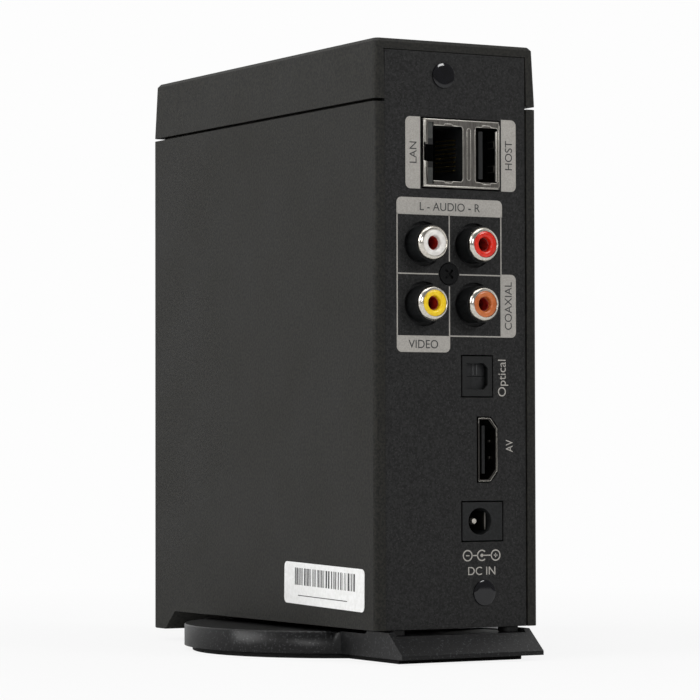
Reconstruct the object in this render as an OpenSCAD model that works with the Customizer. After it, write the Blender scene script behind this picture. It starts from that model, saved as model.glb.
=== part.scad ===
// Slim upright network media player. The top cap carries a tray with a laptop-size
// hard drive, and slides up out of the shell. Everything else hangs on an inner
// chassis behind the connector panel. Millimetres, +Z up, connectors at +Y.
// Origin: on the ground, in the middle of the footprint.

/* [Body] */
// Width of the body, across the two large sides
body_w = 44.5; // [44:0.5:54]
// Depth of the body, front to connector panel
body_d = 116; // [114:1:126]
// Height of the body, without the stand
body_h = 137.5; // [136:0.5:150]
// Wall thickness of the shell and cap
wall = 2; // [1.6:0.1:2.2]
// Radius of the upright corners
corner_r = 1.2; // [0.8:0.1:2]
// Height of the top cap
cap_h = 14.2; // [13:0.1:15]
// Open joint between shell and cap
groove = 0.7; // [0.4:0.1:1]
// How far each side of the cap leans in towards the top
cap_taper = 0.5; // [0.2:0.1:0.8]
// Width of the border beside the connector panel
side_border = 2.8; // [2.6:0.1:3.2]
// Height of the border above the connector panel
top_border = 2.5; // [2.2:0.1:3]
// How far the front lip hangs below the body
lip_drop = 4.8; // [3:0.1:5.5]
// Depth of the front lip at its lower end
lip_foot_d = 6.8; // [5:0.1:8]
// Depth of the front lip where it meets the body
lip_root_d = 12.4; // [10:0.1:14]

/* [Stand] */
// Height of the body's underside above the ground
stand_h = 7.7; // [7.2:0.1:8.6]
// Radius of the round foot of the stand
disc_r = 39; // [36:0.5:42]
// Distance from the front of the body to the middle of the round foot
disc_y = 60.5; // [57:0.5:63]
// Gap between the round foot and the body
disc_gap = 1.15; // [0.9:0.05:1.8]
// Width of the stand at its rear
tail_w = 38.6; // [36:0.2:40]
// How far the sloped rear of the stand reaches behind the body
ramp_out = 7; // [5:0.5:9]
// Thickness of the stand's lower edge below the slope
ramp_edge = 1; // [0.8:0.1:1.6]
// Thickness of the rubber pad under the stand
pad_t = 1.25; // [0.8:0.05:1.6]
// Diameter of the post that the body is screwed down on
post_d = 16; // [13:0.5:18]

/* [Connector panel] */
// Thickness of the panel
panel_t = 1.2; // [1:0.1:1.6]
// How far the panel lies inside its border
panel_recess = 0.4; // [0.2:0.1:0.8]
// Play between a connector and its cut-out
port_gap = 0.3; // [0.2:0.05:0.5]

/* [Network and host port] */
// Width of the double port, away from the board
twin_w = 21; // [20.6:0.1:22]
// Height of the double port
twin_h = 16.1; // [15.8:0.1:16.6]
// Depth of the double port
twin_d = 21.5; // [18:0.5:22]
// Lower edge of the double port above the body's underside
twin_z = 103.1; // [100:0.1:104]
// Sheet thickness of the connector shields
shield_t = 0.4; // [0.3:0.05:0.5]

/* [Phono jacks] */
// Distance between neighbouring jacks, across
jack_pitch_x = 13.8; // [13.4:0.1:14]
// Distance between neighbouring jacks, up and down
jack_pitch_z = 14; // [13.4:0.1:14.6]
// Outer diameter of a jack's metal barrel
jack_d = 8.1; // [7.9:0.05:8.3]
// Wall of the metal barrel
barrel_wall = 0.95; // [0.6:0.05:1.1]
// How far the barrels stand out behind the panel
jack_out = 5.1; // [4.5:0.1:6]
// Diameter of the hole for the plug's pin
jack_hole_d = 3.3; // [3.1:0.05:3.6]
// Diameter of the plastic sleeve round a barrel
sleeve_d = 8.6; // [8.5:0.05:9.6]
// How far the sleeves stand out behind the panel
sleeve_out = 3.9; // [2:0.1:4.2]
// Diameter of the panel's opening round a sleeve
jack_opening_d = 10.4; // [10:0.1:11.2]
// Height of the middle of the lower jacks above the body's underside
jack_z = 75.8; // [74:0.1:78]

/* [Other ports] */
// Height of the middle of the optical port
optical_z = 59; // [58.5:0.1:60]
// Width and height of the optical port's face
optical_face = [8.2, 9.4]; // [8:0.1:11]
// Height of the middle of the digital picture port
av_z = 41.75; // [40:0.25:44]
// Width and height of the digital picture port's shield
av_face = [5.2, 14.9]; // [5:0.1:15.6]
// Height of the middle of the power jack
power_z = 24.9; // [23:0.1:27]
// Width and height of the power jack's face
power_face = [11, 9]; // [8:0.1:13]
// Diameter of the power jack's hole
power_hole_d = 6.3; // [5.9:0.1:6.6]
// Diameter of the power jack's pin
power_pin_d = 2; // [1.6:0.1:2.5]

/* [Hard drive] */
// Thickness of the drive
drive_t = 9.5; // [7:0.5:9.5]
// Width of the drive
drive_w = 69.85; // [69.6:0.05:70]
// Length of the drive
drive_l = 100.2; // [100:0.1:100.6]
// Sheet thickness of the tray
tray_t = 1.3; // [1:0.1:1.5]
// Running gap of the tray in its cage
tray_gap = 0.4; // [0.3:0.05:0.5]
// Wall of the cage
cage_t = 1.4; // [1.2:0.1:1.6]

/* [Front] */
// Diameter of the power button
button_d = 9; // [8:0.5:10]
// Travel of the power button
button_travel = 0.5; // [0.3:0.1:0.8]
// Height of the power button above the body's underside
button_z = 52; // [49:0.5:54]
// Width and height of the window for the remote control
window_size = [20, 34]; // [14:1:40]

/* [Hidden] */
$fn = 48;
eps = 0.05;

// Body frame: X from the middle, Y from the front face, Z from the underside
front_y = -(body_d + ramp_out) / 2;
cap_z = body_h - cap_h;
shell_h = cap_z - groove;
inner_x = body_w / 2 - wall;
mouth_x = body_w / 2 - side_border;
flange_d = 4;
panel_y = body_d - panel_recess;
panel_in = panel_y - panel_t;
panel_gap = 0.15;

// Skirt of the cap, which closes the joint from inside
skirt_gap = 0.25;
skirt_t = 1;
skirt_drop = 2.5;
cap_in = wall + skirt_gap + skirt_t;
inner_top = shell_h - skirt_drop - 1;

// Screws
screw_d = 2.5;
head_d = 5;
head_h = 0.7;
thread_gap = 0.05;

// Main board, upright along the far side
board_t = 1.6;
post_h = 4.65;
chassis_t = 1;
board_back = -inner_x + chassis_t + post_h;
board_x = board_back + board_t;
board_front = 8;
board_rear = panel_in - 1.6;
board_low = 3.5;
board_holes = [[16, 12], [16, inner_top - 6], [88, 12], [88, inner_top - 18]];
post_hole_d = 5;

// Connectors, measured from the board's face
twin_x = board_x + 1.05;
jack_right_x = board_x + 7.95;
jack_left_x = jack_right_x + jack_pitch_x;
jack_top_z = jack_z + jack_pitch_z;
insert_d = jack_d - 2 * barrel_wall;
optical_x = board_x + 7.2;
av_x = board_x + 4.45;
power_x = board_x + 5.9;
power_hole_x = power_x + 0.7;

// Drive bay
cage_front = 9;
cage_x = board_x + 14.5;
tray_w = drive_w + 2 * tray_t + 0.4;
cage_w = tray_w + 2 * tray_gap + 2 * cage_t;
tray_y = cage_front + cage_t + tray_gap;
drive_y = tray_y + tray_t + 0.2;
tray_x = cage_x + cage_t + tray_gap;
drive_x = tray_x + tray_t + 0.2;
tray_open_x = drive_x + drive_t + 1.3;
cage_lip_x = tray_open_x + tray_gap;
dock_z = wall + cage_t;
tray_z = 10.6;
drive_z = tray_z + tray_t + 0.2;
tray_top = body_h - wall - 4;
tray_travel = shell_h - tray_z;
socket_y = drive_y + 12;
tongue_w = 31;
tongue_t = 1.2;
tongue_x = drive_x + 2.6;
recess_w = tongue_w + 4;
socket_w = recess_w + 1;
recess_h = 5;
drive_screw_z = [14, 90.6];

// Front parts
front_board_y = 6.6;
front_board_t = 1.2;
window_z = 91;
window_corner = 2.5;
boss_z = [66, 114];

// Optical port
door_h = 6.2;
door_w = 5.8;
door_t = 0.8;
door_y = panel_y - 1.85;
door_pin = 0.45;

// Fasteners and details of the panel
centre_screw_x = (jack_right_x + jack_left_x) / 2 + 0.1;
centre_screw_z = jack_z + jack_pitch_z / 2 + 0.1;
top_screw = [3.35, body_h - 8.05];
low_screw = [-7.5, 8.1];
cover_d = 6;
cover_t = 0.5;

module block(lo, hi) {
    translate(lo) cube(hi - lo);
}

module bar_y(x, z, d, y0, y1) {
    translate([x, y0, z]) rotate([-90, 0, 0]) cylinder(d = d, h = y1 - y0);
}

module bar_x(y, z, d, x0, x1) {
    translate([x0, y, z]) rotate([0, 90, 0]) cylinder(d = d, h = x1 - x0);
}

module bar_z(x, y, d, z0, z1) {
    translate([x, y, z0]) cylinder(d = d, h = z1 - z0);
}

// Flat rectangle with round corners, centred
module rounded(w, h, r) {
    square([w - 2 * r, h], center = true);
    square([w, h - 2 * r], center = true);
    for (sx = [-1, 1], sz = [-1, 1])
        translate([sx * (w / 2 - r), sz * (h / 2 - r)]) circle(r = r);
}

// Upright plate with round corners, from y0 to y1
module plate_y(x, z, size, r, y0, y1) {
    translate([x, y1, z]) rotate([90, 0, 0]) linear_extrude(y1 - y0) rounded(size[0], size[1], r);
}

module in_body() {
    translate([0, front_y, stand_h]) children();
}

module body_outline(inset) {
    translate([0, body_d / 2]) rounded(body_w - 2 * inset, body_d - 2 * inset, corner_r);
}

// ---------------------------------------------------------------- covers

// Lip under the front, straight in front and sloped behind
module front_lip() {
    lip_r = 1.6;
    intersection() {
        translate([0, 0, -lip_drop]) linear_extrude(lip_drop + wall) body_outline(0);
        rotate([90, 0, 90]) linear_extrude(body_w, center = true) union() {
            polygon([[0, wall], [0, lip_r - lip_drop], [lip_r, -lip_drop], [lip_foot_d, -lip_drop],
                [lip_root_d, 0], [lip_root_d, wall]]);
            translate([lip_r, lip_r - lip_drop]) circle(r = lip_r);
        }
    }
}

module main_shell() {
    color("#403f3c") in_body() {
        difference() {
            union() {
                linear_extrude(shell_h) body_outline(0);
                front_lip();
            }
            block([-inner_x, wall, wall], [inner_x, body_d - flange_d, shell_h + eps]);
            block([-mouth_x, body_d - flange_d - eps, wall], [mouth_x, body_d + eps, shell_h + eps]);
            block([-mouth_x, panel_in - panel_gap, -eps], [mouth_x, body_d + eps, wall + eps]);
            plate_y(0, window_z, window_size, window_corner, -eps, wall + eps);
            bar_y(0, button_z, button_d + 0.5, -eps, wall + eps);
            bar_z(0, disc_y, screw_d + 2 * thread_gap, -eps, wall + eps);
        }
        for (z = boss_z) difference() {
            bar_y(0, z, 5, wall - eps, front_board_y);
            bar_y(0, z, 1.8, wall + 1, front_board_y + eps);
        }
        difference() {
            bar_z(0, disc_y, 7, wall - eps, dock_z);
            bar_z(0, disc_y, screw_d + 2 * thread_gap, wall - 2 * eps, dock_z + eps);
        }
    }
}

// Outer form of the cap: upright below, leaning in, with an eased top edge
module cap_form() {
    edge = 0.9;
    slab = 0.1;
    hull() {
        translate([0, 0, cap_z]) linear_extrude(slab) body_outline(0, $fn = 24);
        translate([0, 0, body_h - edge]) linear_extrude(slab) body_outline(cap_taper, $fn = 24);
        translate([0, 0, body_h - slab]) linear_extrude(slab)
            body_outline(cap_taper + 0.7 * edge, $fn = 24);
    }
}

module top_cap() {
    skirt_end = body_d - flange_d - 0.3;
    skirt_x = inner_x - skirt_gap;
    color("#42413e") in_body() {
        difference() {
            cap_form();
            block([cap_in - body_w / 2, cap_in, cap_z - eps],
                [body_w / 2 - cap_in, body_d - flange_d + eps, body_h - wall]);
            block([-mouth_x, body_d - flange_d, cap_z - eps],
                [mouth_x, body_d + eps, body_h - top_border]);
        }
        difference() {
            block([-skirt_x, wall + skirt_gap, shell_h - skirt_drop], [skirt_x, skirt_end, cap_z + 1]);
            block([cap_in - body_w / 2, cap_in, shell_h - skirt_drop - eps],
                [body_w / 2 - cap_in, skirt_end + eps, cap_z + 1 + eps]);
        }
        for (y = cap_screw_y) difference() {
            bar_z(cap_screw_x, y, 6, tray_top, body_h - wall + eps);
            bar_z(cap_screw_x, y, screw_d + 2 * thread_gap, tray_top - eps, tray_top + 3.5);
        }
    }
}

// Square opening in the panel round a connector's face
module face_hole(x, z, size) {
    half = size / 2 + [port_gap, port_gap];
    block([x - half[0], panel_in - eps, z - half[1]], [x + half[0], panel_y + eps, z + half[1]]);
}

module rear_panel() {
    panel_top = body_h - top_border - panel_gap;
    panel_x = mouth_x - panel_gap;
    color("#2b2c2d") in_body() difference() {
        block([-panel_x, panel_in, 0], [panel_x, panel_y, panel_top]);
        block([twin_x - port_gap, panel_in - eps, twin_z - port_gap],
            [twin_x + twin_w + port_gap, panel_y + eps, twin_z + twin_h + port_gap]);
        for (x = [jack_right_x, jack_left_x], z = [jack_z, jack_top_z])
            bar_y(x, z, jack_opening_d, panel_in - eps, panel_y + eps);
        face_hole(optical_x, optical_z, optical_face);
        av_profile(panel_in - eps, panel_y + eps, port_gap);
        face_hole(power_x, power_z, power_face);
        bar_y(centre_screw_x, centre_screw_z, screw_d + 0.3, panel_in - eps, panel_y + eps);
        bar_y(centre_screw_x, centre_screw_z, head_d + 0.3, panel_y - head_h, panel_y + eps);
        for (p = [top_screw, low_screw]) {
            bar_y(p[0], p[1], screw_d + 0.3, panel_in - eps, panel_y + eps);
            bar_y(p[0], p[1], head_d + 0.3, panel_y - head_h, panel_y + eps);
        }
    }
}

// ---------------------------------------------------------------- chassis and board

module chassis() {
    plate_x = -inner_x + chassis_t;
    fold_x = board_back - 0.3;
    arm_h = 8;
    arm_reach = 3.7;
    color("#9a9c9e") in_body() difference() {
        union() {
            block([-inner_x, 7, wall], [plate_x, body_d - flange_d - 0.2, inner_top]);
            block([0.2 - mouth_x, body_d - flange_d - 3, wall], [plate_x + 0.5, panel_in, inner_top]);
            block([0.2 - mouth_x, panel_in - chassis_t, wall], [fold_x, panel_in, top_screw[1] + arm_h / 2]);
            for (p = [top_screw, low_screw])
                block([0.2 - mouth_x, panel_in - chassis_t, p[1] - arm_h / 2],
                    [p[0] + arm_reach, panel_in, p[1] + arm_h / 2]);
            for (h = board_holes) bar_x(h[0], h[1], post_hole_d, plate_x - eps, board_back);
        }
        for (h = board_holes)
            bar_x(h[0], h[1], screw_d + 2 * thread_gap, -inner_x - eps, board_back + eps);
        for (p = [top_screw, low_screw])
            bar_y(p[0], p[1], screw_d + 2 * thread_gap, panel_in - chassis_t - eps, panel_in + eps);
    }
}

module main_board() {
    color("#1f5a3a") in_body() difference() {
        block([board_back, board_front, board_low], [board_x, board_rear, inner_top]);
        for (h = board_holes)
            bar_x(h[0], h[1], screw_d + 0.4, board_back - eps, board_x + eps);
    }
}

module board_screws() {
    color("#b8b9ba") in_body() for (h = board_holes) {
        bar_x(h[0], h[1], screw_d, board_back - 3.5, board_x + eps);
        bar_x(h[0], h[1], head_d, board_x, board_x + 1.4);
    }
}

chip_y = 34;
chip_z = 52;
chip = 27;
chip_h = 1.8;
sink = 40;
sink_h = 9;

module processor() {
    color("#26282a") in_body()
        block([board_x, chip_y, chip_z], [board_x + chip_h, chip_y + chip, chip_z + chip]);
}

// Finned heat sink on the processor
module heat_sink() {
    fins = 9;
    fin_t = 1.2;
    low_y = chip_y + (chip - sink) / 2;
    low_z = chip_z + (chip - sink) / 2;
    pitch = (sink - fin_t) / (fins - 1);
    root = board_x + chip_h;
    color("#2f3033") in_body() {
        block([root, low_y, low_z], [root + 2, low_y + sink, low_z + sink]);
        for (i = [0:fins - 1])
            block([root + 2 - eps, low_y + i * pitch, low_z],
                [root + sink_h, low_y + i * pitch + fin_t, low_z + sink]);
    }
}

module memory_chips() {
    size = [1.2, 9, 13];
    color("#1d1e20") in_body() for (y = [22:14:64])
        translate([board_x, y, 84]) cube(size);
}

module board_capacitors() {
    can_d = 6.3;
    can_h = 8;
    color("#3c4450") in_body() for (p = [[84, 20], [84, 29], [84, 38], [76, 20]])
        bar_x(p[0], p[1], can_d, board_x, board_x + can_h);
}

// ---------------------------------------------------------------- drive bay

// Guide that the tray runs in: back, two sides with front lips, and a floor
module drive_cage() {
    lip = 4;
    rim = 14;
    window_low = 30;
    window_h = 60;
    far_y = cage_front + cage_w;
    color("#2a2b2d") in_body() difference() {
        union() {
            block([cage_x, cage_front, wall], [cage_x + cage_t, far_y, inner_top]);
            for (y = [cage_front, far_y - cage_t])
                block([cage_x, y, wall], [inner_x, y + cage_t, inner_top]);
            for (y = [cage_front, far_y - lip])
                block([cage_lip_x, y, wall], [cage_lip_x + cage_t, y + lip, inner_top]);
            block([cage_x, cage_front, wall], [cage_lip_x + cage_t, far_y, dock_z]);
        }
        bar_z(0, disc_y, 8, wall - eps, dock_z + eps);
        translate([cage_x - eps, cage_front + rim, window_low])
            cube([cage_t + 2 * eps, cage_w - 2 * rim, window_h]);
        block([cage_x - eps, socket_y - 1, dock_z - eps],
            [cage_x + cage_t + eps, socket_y + socket_w + 1, 8]);
    }
}

// Small board under the bay, which joins the drive's socket to the main board
module dock_board() {
    color("#1f5a3a") in_body()
        block([board_x, socket_y, dock_z], [cage_lip_x - 0.4, socket_y + socket_w, dock_z + board_t]);
}

module dock_header() {
    color("#1b1c1d") in_body()
        block([board_x, socket_y + 4, dock_z + board_t], [board_x + 6, socket_y + 30, dock_z + board_t + 5]);
}

module dock_socket() {
    top = drive_z + recess_h - 1.2;
    color("#1b1c1d") in_body() difference() {
        block([drive_x + 1, socket_y + 1.4, dock_z + board_t], [drive_x + 6, socket_y + recess_w - 0.4, top]);
        block([tongue_x - 0.2, socket_y + 2.3, drive_z - 0.6],
            [tongue_x + tongue_t + 0.2, socket_y + 2.7 + tongue_w, top + eps]);
    }
}

// Tray: back plate, two sides, an end with a window for the socket, and a riser to the cap
module drive_tray() {
    far_y = tray_y + tray_w;
    top_z = drive_z + drive_l + 0.2;
    riser_t = 1.2;
    color("#8e9194") in_body() difference() {
        union() {
            block([tray_x, tray_y, tray_z], [tray_x + tray_t, far_y, tray_top]);
            for (y = [tray_y, far_y - tray_t])
                block([tray_x, y, tray_z], [tray_open_x, y + tray_t, top_z + tray_t]);
            for (z = [tray_z, top_z])
                block([tray_x, tray_y, z], [tray_open_x, far_y, z + tray_t]);
            block([tray_x, tray_y, tray_top - riser_t], [tray_open_x, far_y, tray_top]);
        }
        block([drive_x + 0.6, socket_y + 0.6, tray_z - eps],
            [drive_x + 6.4, socket_y + recess_w + 0.2, tray_z + tray_t + eps]);
        block([tray_x - eps, tray_y + 12, drive_z + 22],
            [tray_x + tray_t + eps, far_y - 12, drive_z + drive_l - 22]);
        block([tray_x - eps, tray_y + 16, top_z + tray_t + 2],
            [tray_x + tray_t + eps, far_y - 16, tray_top - riser_t - 3]);
        for (z = drive_screw_z)
            bar_y(drive_screw_x, drive_z + z, screw_d + 0.5, tray_y - eps, far_y + eps);
        for (y = cap_screw_y)
            bar_z(cap_screw_x, y, screw_d + 0.4, tray_top - riser_t - eps, tray_top + eps);
    }
}

drive_screw_x = drive_x + 3;
cap_screw_x = drive_x + drive_t / 2;
cap_screw_y = [tray_y + 14, tray_y + tray_w - 14];

// Drive casting with a recess for the connector and for the lid
module hard_drive() {
    color("#9fa2a4") in_body() difference() {
        block([drive_x + 0.9, drive_y, drive_z],
            [drive_x + drive_t - 0.5, drive_y + drive_w, drive_z + drive_l]);
        block([drive_x, socket_y + 1, drive_z - eps],
            [drive_x + 6.2, socket_y + recess_w, drive_z + recess_h]);
        for (z = drive_screw_z, y = [drive_y, drive_y + drive_w])
            bar_y(drive_screw_x, drive_z + z, screw_d + 2 * thread_gap, y - 3, y + 3);
    }
}

module drive_lid() {
    top = drive_x + drive_t;
    color("#c4c6c8") in_body() difference() {
        translate([top, drive_y + drive_w / 2, drive_z + drive_l / 2]) rotate([0, -90, 0])
            linear_extrude(0.5) rounded(drive_l - 1, drive_w - 1, 2);
        bar_x(drive_y + drive_w / 2, drive_z + 0.62 * drive_l, 2.2, top - 0.2, top + eps);
        for (y = [6, drive_w - 6], z = [8, 0.55 * drive_l, drive_l - 6])
            bar_x(drive_y + y, drive_z + z, 2.6, top - 0.2, top + eps);
    }
}

module drive_board() {
    color("#20603f") in_body()
        block([drive_x, drive_y + 3, drive_z + recess_h + 0.5],
            [drive_x + 0.9, drive_y + drive_w - 3, drive_z + 0.54 * drive_l]);
}

module drive_connector() {
    color("#161718") in_body() {
        block([tongue_x - 1, socket_y + 1.4, drive_z + recess_h - 0.9],
            [drive_x + 6, socket_y + recess_w - 0.4, drive_z + recess_h]);
        block([tongue_x, socket_y + 2.5, drive_z], [tongue_x + tongue_t, socket_y + 2.5 + tongue_w,
            drive_z + recess_h - 0.9 + eps]);
    }
}

// Four screws through the tray's sides into the drive
module tray_screws() {
    head = 0.3;
    far_y = tray_y + tray_w;
    color("#c9cacb") in_body() for (z = drive_screw_z) {
        bar_y(drive_screw_x, drive_z + z, screw_d, tray_y - head + 0.2, drive_y + 2.6);
        bar_y(drive_screw_x, drive_z + z, screw_d, drive_y + drive_w - 2.6, far_y + head - 0.2);
        bar_y(drive_screw_x, drive_z + z, head_d - 0.4, tray_y - head, tray_y);
        bar_y(drive_screw_x, drive_z + z, head_d - 0.4, far_y, far_y + head);
    }
}

module cap_screws() {
    under = tray_top - 1.2;
    color("#c9cacb") in_body() for (y = cap_screw_y) {
        bar_z(cap_screw_x, y, screw_d, under - eps, tray_top + 3.2);
        bar_z(cap_screw_x, y, head_d, under - 1.4, under);
    }
}

// ---------------------------------------------------------------- front

module front_window() {
    color("#1a1013") in_body() {
        plate_y(0, window_z, window_size - [0.3, 0.3], window_corner - 0.15, 0, wall);
        plate_y(0, window_z, window_size + [2.4, 2.4], window_corner + 1, wall, wall + 0.8);
    }
}

module power_button() {
    color("#4a4946") in_body() {
        bar_y(0, button_z, button_d, 0, wall + 0.2 + eps);
        bar_y(0, button_z, button_d + 2, wall + 0.2, wall + 1);
    }
}

module switch_plunger() {
    color("#d8d4c8") in_body()
        bar_y(0, button_z, 3, wall + 1, switch_y + 1);
}

switch_y = wall + 1.9;

module button_switch() {
    color("#2c2d2f") in_body() difference() {
        block([-3, switch_y, button_z - 3], [3, front_board_y, button_z + 3]);
        bar_y(0, button_z, 3.4, switch_y - eps, switch_y + 1 + button_travel + 0.2);
    }
}

module front_board() {
    half_w = window_size[0] / 2 + 1;
    high = window_z + window_size[1] / 2 + 9.5;
    color("#1f5a3a") in_body() difference() {
        block([-half_w, front_board_y, button_z - 7], [half_w, front_board_y + front_board_t, high]);
        for (z = boss_z) bar_y(0, z, 2.4, front_board_y - eps, front_board_y + front_board_t + eps);
    }
}

// Infra-red receiver: a can with a round lens
module remote_receiver() {
    color("#2a1d20") in_body() {
        block([-8, front_board_y - 2, window_z + 4], [-2, front_board_y, window_z + 11]);
        bar_y(-5, window_z + 7.5, 4.6, front_board_y - 3.4, front_board_y - 2 + eps);
    }
}

module status_light() {
    color("#d7e3f2") in_body() {
        bar_y(5, window_z + 7.5, 3.8, front_board_y - 1, front_board_y);
        bar_y(5, window_z + 7.5, 3, front_board_y - 3.2, front_board_y - 1 + eps);
    }
}

// ---------------------------------------------------------------- network and host port

// The double port's face is proud of the panel by twin_proud
twin_proud = 0.25;
twin_y = panel_y + twin_proud;
net_w = 12.9;
net_mouth_z = twin_z + 1.6;
net_x0 = twin_x + 10.2;
net_x1 = twin_x + 18.1;
latch_x1 = twin_x + twin_w - 0.1;
host_x0 = twin_x + shield_t;
host_x1 = twin_x + 6.45;
split_x = twin_x + 8.4;
latch_z = twin_z + twin_h / 2 - 2;
led_w = 1.5;
led_h = 3.9;

module port_shield() {
    color("#b5b3ae") in_body() difference() {
        block([twin_x, twin_y - twin_d, twin_z], [twin_x + twin_w, twin_y, twin_z + twin_h]);
        block([split_x + shield_t, twin_y - twin_d - eps, twin_z + shield_t],
            [twin_x + twin_w - shield_t, twin_y - shield_t, twin_z + twin_h - shield_t]);
        block([twin_x + shield_t, twin_y - twin_d - eps, twin_z + shield_t],
            [split_x, twin_y - shield_t, twin_z + twin_h - shield_t]);
        block([net_x0, twin_y - 1, net_mouth_z], [net_x1, twin_y + eps, net_mouth_z + net_w]);
        block([net_x1 - eps, twin_y - 1, latch_z], [latch_x1, twin_y + eps, latch_z + 4]);
        block([net_x1 - eps, twin_y - 1, twin_z + 0.8],
            [net_x1 + led_w, twin_y + eps, twin_z + twin_h - 0.8]);
        block([host_x0, twin_y - 1, net_mouth_z], [host_x1, twin_y + eps, net_mouth_z + net_w]);
    }
}

// Black insulator of the network port, with the plug's cavity and its latch slot
module network_insert() {
    deep = twin_y - 13.5;
    lo = split_x + shield_t;
    hi = twin_x + twin_w - shield_t;
    color("#151617") in_body() difference() {
        block([lo, twin_y - twin_d, twin_z + shield_t], [hi, twin_y - shield_t, twin_z + twin_h - shield_t]);
        block([net_x0, deep, net_mouth_z], [net_x1, twin_y, net_mouth_z + net_w]);
        block([net_x1 - eps, twin_y - 6, latch_z], [hi - 0.5, twin_y, latch_z + 4]);
        for (z = [twin_z + 0.8, twin_z + twin_h - 0.8 - led_h])
            block([net_x1 + 0.1, twin_y - 4, z], [net_x1 + led_w, twin_y, z + led_h]);
    }
}

// Eight sprung wires on the side away from the latch
module network_contacts() {
    pitch = 1.02;
    wire = 0.35;
    low = net_mouth_z + net_w / 2 - 3.5 * pitch;
    color("#c8a24a") in_body() for (i = [0:7])
        translate([0, 0, low + i * pitch - wire / 2]) linear_extrude(wire)
            polygon([[net_x0, twin_y - 3.2], [net_x0, twin_y - 4], [net_x0 + 1.7, twin_y - 9],
                [net_x0 + 2.05, twin_y - 9]]);
}

module network_lights() {
    color("#8d9a86") in_body() for (z = [twin_z + 0.8, twin_z + twin_h - 0.8 - led_h])
        block([net_x1 + 0.15, twin_y - 4, z + 0.05],
            [net_x1 + led_w - 0.05, twin_y - 0.3, z + led_h - 0.05]);
}

// Insulator and tongue of the host port
module host_port_core() {
    back = twin_y - 11;
    color("#3c3d3f") in_body() {
        block([twin_x + shield_t, twin_y - twin_d, twin_z + shield_t],
            [split_x, back, twin_z + twin_h - shield_t]);
        block([host_x1 - 2.3, back - eps, net_mouth_z + 0.8],
            [host_x1 - 1.1, twin_y - 0.7, net_mouth_z + net_w - 0.8]);
    }
}

// ---------------------------------------------------------------- phono jacks

housing_rear = panel_in - 0.1;
barrel_end = panel_y + jack_out;
sleeve_end = panel_y + sleeve_out;
housing_d = 16;
contact_front = barrel_end - 7.2;
contact_t = 0.8;
contact_d = 2.9;

module at_jacks() {
    for (x = [jack_right_x, jack_left_x], z = [jack_z, jack_top_z]) translate([x, 0, z]) children();
}

module jack_housing() {
    edge = 6.2;
    color("#17181a") in_body() difference() {
        union() {
            block([board_x, housing_rear - housing_d, jack_z - edge - 1],
                [jack_left_x + edge, housing_rear, jack_top_z + edge + 1]);
            at_jacks() bar_y(0, 0, sleeve_d, housing_rear - 1, sleeve_end);
        }
        at_jacks() bar_y(0, 0, jack_d + 0.1, housing_rear - 12, sleeve_end + eps);
        bar_y(centre_screw_x, centre_screw_z, screw_d + 2 * thread_gap, housing_rear - 9, housing_rear + eps);
    }
}

module jack_barrels() {
    nose = 0.9;
    edge = 0.2;
    color("#c6c3bc") in_body() at_jacks() difference() {
        union() {
            bar_y(0, 0, jack_d - 0.3, housing_rear - 12, sleeve_end + eps);
            bar_y(0, 0, jack_d, sleeve_end, barrel_end - nose);
            translate([0, barrel_end - nose, 0]) rotate([-90, 0, 0])
                cylinder(d1 = jack_d, d2 = insert_d + 2 * edge, h = nose);
        }
        bar_y(0, 0, insert_d, housing_rear - 12 - eps, barrel_end + eps);
    }
}

module jack_insert(x, z) {
    in_body() translate([x, 0, z]) difference() {
        bar_y(0, 0, insert_d - 0.04, housing_rear - 11.5, barrel_end - 0.1);
        bar_y(0, 0, jack_hole_d, contact_front, barrel_end);
        bar_y(0, 0, contact_d, contact_front - contact_t, contact_front + eps);
    }
}

module jack_insert_white() { color("#e9e7e2") jack_insert(jack_left_x, jack_top_z); }
module jack_insert_red() { color("#c9241d") jack_insert(jack_right_x, jack_top_z); }
module jack_insert_yellow() { color("#e6c11b") jack_insert(jack_left_x, jack_z); }
module jack_insert_orange() { color("#c9703c") jack_insert(jack_right_x, jack_z); }

// Copper contact at the bottom of each hole
module jack_contacts() {
    color("#7a2a1c") in_body() at_jacks()
        bar_y(0, 0, contact_d - 0.04, contact_front - contact_t, contact_front - 0.05);
}

// ---------------------------------------------------------------- optical port

optical_cavity = [6.2, 8.4];

module optical_body() {
    low_x = optical_x - optical_face[0] / 2;
    half = optical_face / 2;
    mouth = [door_w, door_h] / 2;
    cant = 1.1;
    rear = panel_y - 0.05;
    color("#3a3c3e") in_body() difference() {
        block([board_x, rear - 13, optical_z - half[1]], [optical_x + half[0], rear, optical_z + half[1]]);
        block([board_x - eps, panel_in - 0.2, optical_z - half[1] - eps],
            [low_x, rear + eps, optical_z + half[1] + eps]);
        translate([optical_x, rear + eps, optical_z]) rotate([90, 0, 0]) linear_extrude(1)
            polygon([[mouth[0], mouth[1]], [cant - mouth[0], mouth[1]], [-mouth[0], mouth[1] - cant],
                [-mouth[0], cant - mouth[1]], [cant - mouth[0], -mouth[1]], [mouth[0], -mouth[1]]]);
        block([optical_x - optical_cavity[0] / 2, rear - 10, optical_z - optical_cavity[1] / 2],
            [optical_x + optical_cavity[0] / 2, rear - 0.7, optical_z + optical_cavity[1] / 2]);
    }
}

// One door of the shutter; side is 1 for the upper door and -1 for the lower one
module optical_flap(side) {
    pivot = door_h / 2 + 0.4;
    edge = 0.3;
    low = min(side * 0.06, side * (pivot + edge));
    color("#45474a") in_body() translate([optical_x, door_y, optical_z]) {
        translate([-door_w / 2 + 0.05, -door_t / 2, low]) cube([door_w - 0.1, door_t, pivot + edge - 0.06]);
        translate([0, 0, side * pivot]) rotate([0, 90, 0])
            cylinder(d = 2 * door_pin - 0.2, h = optical_cavity[0] - 0.1, center = true);
    }
}

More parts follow.
